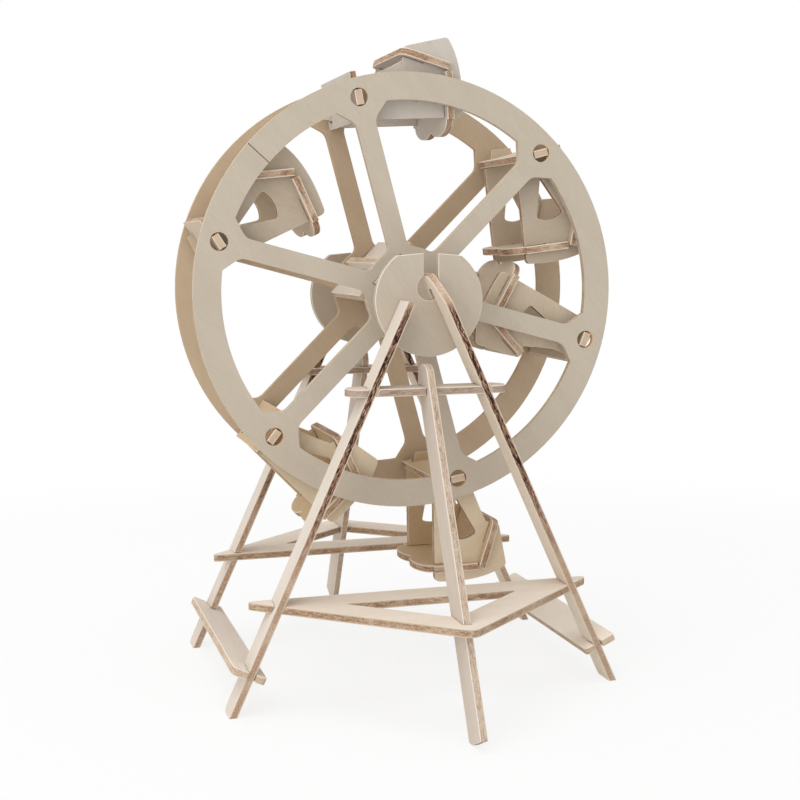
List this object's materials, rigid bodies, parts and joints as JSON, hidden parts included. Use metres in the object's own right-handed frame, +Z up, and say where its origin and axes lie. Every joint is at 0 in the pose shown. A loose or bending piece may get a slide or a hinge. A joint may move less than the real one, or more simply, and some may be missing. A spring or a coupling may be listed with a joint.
{
  "type": "toy ferris wheel",
  "caption": "Free-standing plywood toy ferris wheel: leaning end frames carry a double wheel that turns on hub tongues, with swinging cabins hung between its rims.",
  "frame": {"origin": "on the floor, under the middle of the wheel axis", "axes": "+Z up, Y along the wheel axis with the near end frame on the -Y side, X across the wheel"},
  "size_m": [0.1756, 0.2342, 0.2637],
  "materials": {
    "frame_birch": "matt raw plywood",
    "wheel_birch": "matt raw plywood",
    "brace_birch": "matt raw plywood",
    "cabin_birch": "matt raw plywood"
  },
  "bodies": {
    "frame": {"near_left_leg": "frame_birch", "near_right_leg": "frame_birch", "far_left_leg": "frame_birch", "far_right_leg": "frame_birch", "near_strut": "frame_birch", "far_strut": "frame_birch", "near_crossbar": "frame_birch", "far_crossbar": "frame_birch", "near_brace": "brace_birch", "far_brace": "brace_birch", "left_tie_plate": "frame_birch", "right_tie_plate": "frame_birch", "near_hub_disc": "wheel_birch", "far_hub_disc": "wheel_birch"},
    "wheel": {"near_wheel": "wheel_birch", "far_wheel": "wheel_birch", "hub_upper_slat": "frame_birch", "hub_lower_slat": "frame_birch", "hub_core_plate": "frame_birch"},
    "cabin_1": {"cabin_1_near_side": "cabin_birch", "cabin_1_far_side": "cabin_birch", "cabin_1_floor": "cabin_birch", "cabin_1_back": "cabin_birch", "cabin_1_roof": "cabin_birch"},
    "cabin_2": {"cabin_2_near_side": "cabin_birch", "cabin_2_far_side": "cabin_birch", "cabin_2_floor": "cabin_birch", "cabin_2_back": "cabin_birch", "cabin_2_roof": "cabin_birch"},
    "cabin_3": {"cabin_3_near_side": "cabin_birch", "cabin_3_far_side": "cabin_birch", "cabin_3_floor": "cabin_birch", "cabin_3_back": "cabin_birch", "cabin_3_roof": "cabin_birch"},
    "cabin_4": {"cabin_4_near_side": "cabin_birch", "cabin_4_far_side": "cabin_birch", "cabin_4_floor": "cabin_birch", "cabin_4_back": "cabin_birch", "cabin_4_roof": "cabin_birch"},
    "cabin_5": {"cabin_5_near_side": "cabin_birch", "cabin_5_far_side": "cabin_birch", "cabin_5_floor": "cabin_birch", "cabin_5_back": "cabin_birch", "cabin_5_roof": "cabin_birch"},
    "cabin_6": {"cabin_6_near_side": "cabin_birch", "cabin_6_far_side": "cabin_birch", "cabin_6_floor": "cabin_birch", "cabin_6_back": "cabin_birch", "cabin_6_roof": "cabin_birch"}
  },
  "joints": [
    {"name": "wheel_spin", "type": "hinge", "parent": "frame", "child": "wheel", "pos_m": [0, 0, 0.161], "axis": [0, -1, 0], "continuous": true},
    {"name": "cabin_1_swing", "type": "hinge", "parent": "wheel", "child": "cabin_1", "pos_m": [-0.02071, 0, 0.23827], "axis": [0, -1, 0], "range_deg": [-91, 20]},
    {"name": "cabin_2_swing", "type": "hinge", "parent": "wheel", "child": "cabin_2", "pos_m": [0.05657, 0, 0.21757], "axis": [0, -1, 0], "range_deg": [-27, 8]},
    {"name": "cabin_3_swing", "type": "hinge", "parent": "wheel", "child": "cabin_3", "pos_m": [0.07727, 0, 0.14029], "axis": [0, -1, 0], "range_deg": [0, 139]},
    {"name": "cabin_4_swing", "type": "hinge", "parent": "wheel", "child": "cabin_4", "pos_m": [0.02071, 0, 0.08373], "axis": [0, -1, 0], "range_deg": [-46, 44]},
    {"name": "cabin_5_swing", "type": "hinge", "parent": "wheel", "child": "cabin_5", "pos_m": [-0.05657, 0, 0.10443], "axis": [0, -1, 0], "range_deg": [-89, 21]},
    {"name": "cabin_6_swing", "type": "hinge", "parent": "wheel", "child": "cabin_6", "pos_m": [-0.07727, 0, 0.18171], "axis": [0, -1, 0], "range_deg": [-135, 20]}
  ]
}
